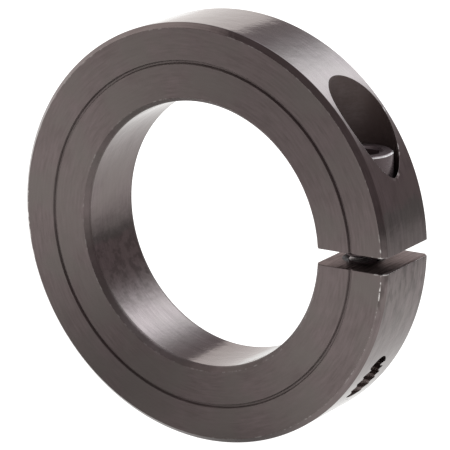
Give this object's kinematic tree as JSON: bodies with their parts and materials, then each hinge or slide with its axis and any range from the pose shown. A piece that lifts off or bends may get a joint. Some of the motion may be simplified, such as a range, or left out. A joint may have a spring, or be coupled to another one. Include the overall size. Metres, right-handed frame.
{
  "type": "shaft collar",
  "caption": "Black-oxide steel clamping shaft collar: a slotted ring that a recessed socket head screw closes on a shaft.",
  "frame": {"origin": "middle of the shaft bore: on the bore's axis, halfway along the ring's width", "axes": "+Y along the bore, out of the plain face, so the grooved front face looks towards -Y. +X points out through the slot. +Z is parallel to the screw and points out through its counterbore"},
  "size_m": [0.0704, 0.014, 0.0704],
  "materials": {
    "ring_steel": "black oxide over turned steel, lightly oiled, satin",
    "screw_steel": "black oxide over alloy steel, satin"
  },
  "bodies": {
    "ring": {"collar_ring": "ring_steel"},
    "screw": {"clamp_screw": "screw_steel"}
  },
  "joints": [
    {"name": "screw_turn", "type": "hinge", "parent": "ring", "child": "screw", "pos_m": [0.0272, 0, 0.01], "axis": [0, 0, 1], "range_deg": [-90, 360]}
  ]
}
